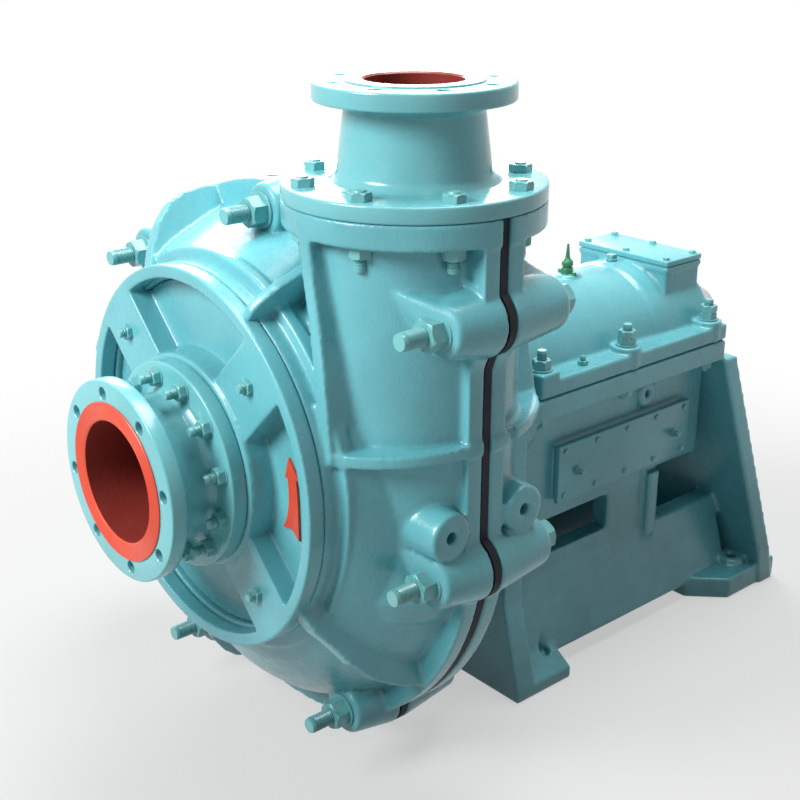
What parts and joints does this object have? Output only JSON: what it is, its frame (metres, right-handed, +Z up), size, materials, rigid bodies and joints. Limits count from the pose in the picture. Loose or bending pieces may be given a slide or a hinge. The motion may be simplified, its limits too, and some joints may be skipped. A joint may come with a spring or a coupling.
{
  "type": "slurry pump",
  "caption": "Horizontal rubber-lined slurry pump, 200 mm suction and 150 mm discharge, on a cast bearing frame.",
  "frame": {"origin": "middle of the front foot's underside, straight below the shaft axis", "axes": "+Z up, +Y along the shaft from the suction flange to the drive end, +X to the right seen from the suction end"},
  "size_m": [1.0658, 1.544, 1.242],
  "materials": {
    "teal_paint": "gloss",
    "dark_teal_paint": "satin",
    "black_rubber": "matte",
    "wear_iron": "satin",
    "bright_steel": "satin",
    "brass": "satin",
    "packing": "matte"
  },
  "bodies": {
    "root": {"bearing_frame": "teal_paint", "bearing_cover": "teal_paint", "inspection_lid": "teal_paint", "side_cover_plate": "teal_paint", "front_casing": "teal_paint", "rear_casing": "teal_paint", "suction_cover": "teal_paint", "suction_pipe": "teal_paint", "discharge_pipe": "teal_paint", "front_liner": "black_rubber", "rear_liner": "black_rubber", "throat_bush": "black_rubber", "back_liner": "black_rubber", "stuffing_box": "teal_paint", "lantern_ring": "brass", "packing_ring_1": "packing", "packing_ring_2": "packing", "packing_ring_3": "packing", "gland_stud_1": "bright_steel", "gland_stud_2": "bright_steel", "front_bearing_outer_ring": "bright_steel", "rear_bearing_outer_ring": "bright_steel", "front_end_cap": "teal_paint", "rear_end_cap": "teal_paint", "front_shaft_seal": "black_rubber", "rear_shaft_seal": "black_rubber", "breather": "dark_teal_paint", "filler_plug": "teal_paint", "tie_bolt_1": "dark_teal_paint", "tie_bolt_2": "dark_teal_paint", "tie_bolt_3": "dark_teal_paint", "tie_bolt_4": "dark_teal_paint", "tie_bolt_5": "dark_teal_paint", "tie_bolt_6": "dark_teal_paint", "tie_bolt_7": "dark_teal_paint", "discharge_bolt_1": "dark_teal_paint", "discharge_bolt_2": "dark_teal_paint", "discharge_bolt_3": "dark_teal_paint", "discharge_bolt_4": "dark_teal_paint", "discharge_bolt_5": "dark_teal_paint", "discharge_bolt_6": "dark_teal_paint", "discharge_bolt_7": "dark_teal_paint", "discharge_bolt_8": "dark_teal_paint", "cover_bolt_1": "dark_teal_paint", "cover_bolt_2": "dark_teal_paint", "cover_bolt_3": "dark_teal_paint", "cover_bolt_4": "dark_teal_paint", "cover_bolt_5": "dark_teal_paint", "cover_bolt_6": "dark_teal_paint"},
    "rotor": {"shaft": "bright_steel", "impeller": "wear_iron", "shaft_sleeve": "bright_steel", "front_bearing_inner_ring": "bright_steel", "rear_bearing_inner_ring": "bright_steel", "shaft_key": "bright_steel", "bearing_lock_nut": "bright_steel"},
    "front_rollers": {"front_roller_set": "bright_steel"},
    "rear_rollers": {"rear_roller_set": "bright_steel"},
    "gland": {"packing_gland": "brass"}
  },
  "joints": [
    {"name": "rotor_spin", "type": "hinge", "parent": "root", "child": "rotor", "pos_m": [0, 0, 0.61], "axis": [0, 1, 0], "continuous": true},
    {"name": "front_cage_spin", "type": "hinge", "parent": "root", "child": "front_rollers", "pos_m": [0, 0, 0.61], "axis": [0, 1, 0], "continuous": true},
    {"name": "rear_cage_spin", "type": "hinge", "parent": "root", "child": "rear_rollers", "pos_m": [0, 0, 0.61], "axis": [0, 1, 0], "continuous": true},
    {"name": "gland_slide", "type": "slide", "parent": "root", "child": "gland", "axis": [0, 1, 0], "range_m": [0, 0.025]}
  ],
  "couplings": [
    {"joint": "front_cage_spin", "follows": "rotor_spin", "ratio": 0.4286},
    {"joint": "rear_cage_spin", "follows": "rotor_spin", "ratio": 0.4286}
  ]
}
